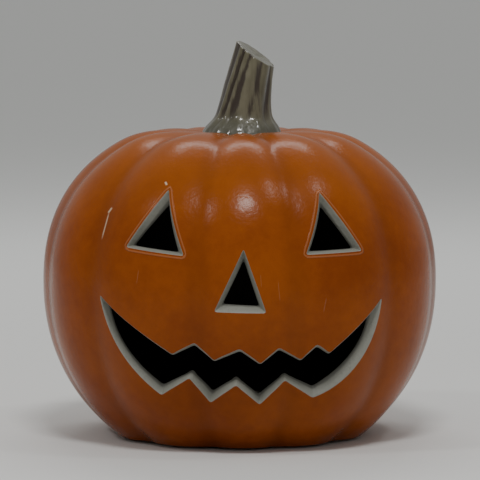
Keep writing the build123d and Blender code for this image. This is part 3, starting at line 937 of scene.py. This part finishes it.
    @staticmethod
    def distance(spot: Vector, loop: list[Vector]) -> float:
        """Distance from a spot to a closed loop."""
        best = 1e9
        for a, b in closed(loop):
            along = b - a
            t = min(max((spot - a).dot(along) / max(along.length_squared, 1e-9), 0), 1)
            best = min(best, (spot - a - along * t).length)
        return best


# ---- the stem


@dataclass
class Stem:
    """The fluted, leaning stem with a slanted cut top."""

    skin: Skin
    foot: float = 191.0
    rise: float = 7.0
    middles: tuple[float, ...] = (0.5, 1.0, 2.0, 2.9, 4.0, 5.2, 6.6, 8.1, 9.7, 11.3, 13.0)
    halves: tuple[float, ...] = (27.0, 24.6, 19.3, 17.4, 16.4, 15.7, 15.0, 14.4, 13.9, 13.5, 13.1)
    flutes: int = 11
    flute_depth: float = 0.12
    twist: float = 2.5
    segments: int = 176
    rings: int = 64
    cut_point: tuple[float, float, float] = (11.0, 0.0, 245.6)
    cut_normal: tuple[float, float, float] = (0.56, -0.16, 0.81)
    top_rings: tuple[tuple[float, float, float], ...] = (
        (0.985, 0.35, 0.1), (0.955, 0.62, 0.35), (0.91, 0.75, 0.7), (0.84, 0.7, 1.0), (0.6, 0.2, 1.0),
        (0.32, -0.5, 1.0), (0.12, -0.8, 1.0))

    def between(self, values: Sequence[float], at: float) -> float:
        """A smooth value between the sections, by section number."""
        i = min(max(int(at), 0), len(values) - 2)
        t = at - i
        a, b = values[max(i - 1, 0)], values[i]
        c, d = values[i + 1], values[min(i + 2, len(values) - 1)]
        square, cube = 2 * a - 5 * b + 4 * c - d, 3 * b - a - 3 * c + d
        return 0.5 * (2 * b + (c - a) * t + square * t * t + cube * t ** 3)

    def ridge(self, angle: float, height: float) -> float:
        """0 on a flute's ridge and 1 in its groove, uneven from flute to flute."""
        turned = angle - math.radians(self.twist) * (height - self.foot) / self.rise
        turned += 0.10 * math.sin(3 * turned + 0.7) + 0.05 * math.sin(5 * turned)
        wave = abs(math.cos(turned * self.flutes / 2))
        fade = smoothstep(height, self.foot + 3.0, self.foot + 15.0)
        return (1 - wave ** 1.3) * (0.75 + 0.25 * math.sin(2 * turned + 1.1)) * (0.35 + 0.65 * fade)

    def build(self) -> bpy.types.Object:
        """Return the stem, set on the crown."""
        bm = bmesh.new()
        flute = bm.verts.layers.float.new("flute")
        top = bm.verts.layers.float.new("top")
        ring = bmesh.ops.create_circle(bm, cap_ends=False, segments=self.segments, radius=1.0)["verts"]
        edges = list(bm.edges)
        angles = {v: math.atan2(v.co.y, v.co.x) for v in ring}
        last = len(self.halves) - 1
        for number in range(self.rings + 1):
            section = last * number / self.rings
            height = self.foot + section * self.rise
            middle, half = self.between(self.middles, section), self.between(self.halves, section)
            if number:
                edges, grown = extend(bm, edges)
                angles = {new: angles[old] for new, old in grown.items()}
            for vert, angle in angles.items():
                groove = self.ridge(angle, height)
                radius = half * (1 - self.flute_depth * groove)
                x, y = middle + radius * math.cos(angle), radius * math.sin(angle)
                crown = self.skin.crown_height(math.hypot(x, y), math.degrees(math.atan2(x, -y)))
                vert.co = Vector((x, y, max(height, crown - 0.7))) * MM
                vert[flute] = groove
        cut = bmesh.ops.bisect_plane(bm, geom=bm.verts[:] + bm.edges[:] + bm.faces[:], dist=1e-7,
                                     plane_co=self.cut_place() * MM, plane_no=self.cut_normal,
                                     clear_outer=True, clear_inner=False)
        edges = [e for e in cut["geom_cut"] if isinstance(e, bmesh.types.BMEdge)]
        self.close_top(bm, edges, top)
        open_edges = [e for e in bm.edges if e.is_boundary]
        bmesh.ops.holes_fill(bm, edges=open_edges, sides=0)
        bmesh.ops.recalc_face_normals(bm, faces=bm.faces)
        piece = to_object("stem_glazed", bm, [StemGlaze().build()], 50.0)
        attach(piece, BODY)
        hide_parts("stem")
        return piece

    def cut_place(self) -> Vector:
        """A point of the cut, lowered by the height that the rounded top adds."""
        lift = max(lift for _, lift, _ in self.top_rings)
        return Vector(self.cut_point) - Vector(self.cut_normal).normalized() * lift

    def close_top(self, bm: bmesh.types.BMesh, edges: list[bmesh.types.BMEdge],
                  top: bmesh.types.BMLayerItem) -> None:
        """Round the cut's edge and dish its face, ring by ring.

        Args:
            bm: The stem.
            edges: The cut's open rim.
            top: The layer that marks the cut face.
        """
        rim = {v for e in edges for v in e.verts}
        centre = sum((v.co for v in rim), Vector()) / len(rim)
        up = Vector(self.cut_normal).normalized()
        here = {v: v.co - centre for v in rim}
        for share, lift, mark in self.top_rings:
            edges, grown = extend(bm, edges)
            here = {new: here[old] for new, old in grown.items()}
            for vert, spoke in here.items():
                vert.co = centre + spoke * share + up * lift * MM
                vert[top] = mark
        bmesh.ops.contextual_create(bm, geom=edges)


# ---- small soft pieces


@dataclass
class Feet:
    """Four felt pads under the foot."""

    count: int = 4
    edge: float = 0.0004

    def build(self) -> list[bpy.types.Object]:
        """Return the pads, each in its CAD node's box."""
        felt = Fibre("felt", (0.05, 0.045, 0.04), 2600.0, 0.0003).build()
        pads = []
        for number in range(1, self.count + 1):
            node = f"foot_pad_{number}"
            low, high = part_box(node)
            bm = bmesh.new()
            size = high - low
            bmesh.ops.create_cone(bm, cap_ends=True, segments=64, radius1=size.x / 2,
                                  radius2=size.x / 2, depth=size.z)
            rims = [e for e in bm.edges if abs(e.verts[0].co.z - e.verts[1].co.z) < 1e-9]
            bmesh.ops.bevel(bm, geom=rims, offset=self.edge, offset_type="OFFSET", affect="EDGES", segments=3,
                            profile=0.5, material=-1, clamp_overlap=True)
            bmesh.ops.translate(bm, vec=(low + high) / 2, verts=bm.verts)
            pad = to_object(f"felt_pad_{number}", bm, [felt])
            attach(pad, BODY)
            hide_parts(node)
            pads.append(pad)
        return pads


@dataclass
class Collar:
    """The foam collar squeezed between the light and the base hole."""

    dome_gap: float = 0.0005

    def build(self) -> bpy.types.Object:
        """Return the collar, its section turned about the upright axis."""
        low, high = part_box("foam_collar")
        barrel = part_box("diffuser_dome")[1].x + self.dome_gap
        outer, thick = high.x, high.x - barrel
        bm = bmesh.new()
        corners = [(barrel, low.z), (outer, low.z), (outer, high.z), (barrel, high.z)]
        verts = [bm.verts.new((x, 0, z)) for x, z in corners]
        face = bm.faces.new(verts)
        bmesh.ops.bevel(bm, geom=face.edges[:] + face.verts[:], offset=thick * 0.3, offset_type="OFFSET",
                        affect="VERTICES", segments=3, profile=0.5, material=-1, clamp_overlap=True)
        section = list(bm.verts) + list(bm.edges)
        bmesh.ops.delete(bm, geom=list(bm.faces), context="FACES_ONLY")
        turn_round(bm, section, 120)
        bmesh.ops.remove_doubles(bm, verts=bm.verts, dist=1e-6)
        bmesh.ops.recalc_face_normals(bm, faces=bm.faces)
        collar = to_object("collar", bm, [Fibre("foam", (0.02, 0.02, 0.02), 1500.0, 0.0004).build()])
        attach(collar, BODY)
        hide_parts("foam_collar")
        return collar


# ---- the light module's finishes


@dataclass
class LightModule:
    """Dresses the CAD nodes of the battery light."""

    def build(self) -> int:
        """Give every remaining CAD node its finish and return how many were dressed."""
        black = Plastic("housing_black", (0.022, 0.022, 0.024), 0.55, 1700, 0.00008).build()
        steel = Metal("zinc_steel", (0.56, 0.56, 0.55), 0.32).build()
        nickel = Metal("nickel", (0.68, 0.66, 0.61), 0.2).build()
        dark = Plastic("chip_black", (0.012, 0.012, 0.013), 0.4).build()
        dressed = {
            "module_housing": black, "battery_door": black,
            "diffuser_dome": Plastic("frosted_dome", (0.74, 0.71, 0.62), 0.45, 1500, 0.0001, 0.4).build(),
            "circuit_board": Plastic("solder_mask", (0.01, 0.12, 0.04), 0.3, 600, 0.00003).build(),
            "board_screws": steel, "door_screw": steel, "door_hinge_pin": steel,
            "screw_insert": Metal("brass", (0.72, 0.47, 0.16), 0.25).build(),
            "led_resistors": dark, "switch_body": dark, "switch_leads": dark, "lead_black": dark,
            "lead_red": Plastic("red_sleeve", (0.5, 0.015, 0.01), 0.3).build(),
            "switch_knob": Plastic("knob_grey", (0.55, 0.55, 0.53), 0.45).build(),
        }
        lens = Plastic("led_lens", (0.9, 0.68, 0.3), 0.12, 500, 0.00001, clear=0.6).build()
        for number in range(1, 4):
            nub = -1.0 if number == 2 else 1.0
            dressed[f"led_{number}"] = lens
            dressed[f"battery_{number}"] = CellSleeve().build(f"cell_sleeve_{number}", nub)
            dressed[f"battery_spring_{number}"] = nickel
        for end in ("plus", "minus", "bridge_1", "bridge_2"):
            dressed[f"contact_{end}"] = nickel
        for node, finish in dressed.items():
            piece = frame["nodes"][node]
            piece.data.materials.clear()
            piece.data.materials.append(finish)
            LOG.info("dressed %s with %s", node, finish.name)
        return len(dressed)


# ---- the studio


@dataclass
class Studio:
    """Pale floor, soft ceiling panels and the camera."""

    camera_back: float = 2.0
    camera_height: float = 0.290
    aim_height: float = 0.1254
    lens: float = 232.3
    # The floor is darker near the object as painted shade against the panels' light, and paler far away where
    # only the room lights it.
    near_floor: Colour = (0.72, 0.72, 0.70)
    far_floor: Colour = (0.93, 0.94, 0.92)
    surround: float = 0.475
    floor_half: float = 120.0

    def build(self) -> None:
        """Make the floor, lights, surroundings and camera."""
        bm = bmesh.new()
        bmesh.ops.create_grid(bm, x_segments=1, y_segments=1, size=self.floor_half)
        finish = Graph("floor")
        # Painted shade: the floor is darker near the object, where the panels light it most, and paler far
        # away, which evens out its brightness.
        away = (finish.axis("X") ** 2 + finish.axis("Y") ** 2) ** 0.5
        tone = finish.blend(away.step(0.25, 1.6), self.near_floor, self.far_floor)
        finished = finish.finish(Base_Color=tone, Roughness=0.6, Specular_IOR_Level=0.1)
        floor = to_object("floor", bm, [finished])
        world = bpy.data.worlds.new("room")
        bpy.context.scene.world = world
        world.use_nodes = True
        background = world.node_tree.nodes["Background"]
        background.inputs["Color"].default_value = (0.80, 0.80, 0.79, 1)
        background.inputs["Strength"].default_value = self.surround
        for x, y, z, width, depth, power in self.panels():
            self.panel((x, y, z), (width, depth), power)
        data = bpy.data.cameras.new("camera")
        data.lens = self.lens
        data.sensor_width = 36.0
        data.clip_end = 2 * self.floor_half
        camera = link(bpy.data.objects.new("camera", data))
        camera.location = (0, -self.camera_back, self.camera_height)
        aim = Vector((0, 0, self.aim_height)) - camera.location
        camera.rotation_euler = aim.to_track_quat("-Z", "Y").to_euler()
        bpy.context.scene.camera = camera

    @staticmethod
    def panels() -> Iterable[tuple[float, float, float, float, float, float]]:
        """Ceiling panels as x, y, z, width, depth and power."""
        return [(0.08, -0.95, 1.7, 0.42, 0.24, 14.0), (-1.25, -0.75, 1.6, 0.22, 0.22, 5.0),
                (0.9, -0.3, 1.9, 0.2, 0.2, 3.0), (0.0, 1.1, 1.8, 1.2, 0.4, 9.0)]

    def panel(self, at: tuple[float, float, float], size: tuple[float, float], power: float) -> None:
        """One rectangular light that faces the object."""
        data = bpy.data.lights.new("panel", "AREA")
        data.shape = "RECTANGLE"
        data.size, data.size_y = size
        data.energy = power
        light = link(bpy.data.objects.new("panel", data))
        light.location = at
        light.rotation_euler = (Vector((0, 0, 0.1)) - light.location).to_track_quat("-Z", "Y").to_euler()


def main() -> None:
    """Build the object piece by piece, then the studio round it."""
    logging.basicConfig(level=logging.INFO, format="%(name)s: %(message)s")
    skin = Skin()
    body = PumpkinBody(skin).build()
    LOG.info("body: %d faces", len(body.data.polygons))
    stem = Stem(skin).build()
    LOG.info("stem: %d faces", len(stem.data.polygons))
    LOG.info("feet: %d pads", len(Feet().build()))
    LOG.info("collar: %d faces", len(Collar().build().data.polygons))
    LOG.info("light module: %d nodes dressed", LightModule().build())
    Studio().build()


if __name__ == "__main__":
    main()
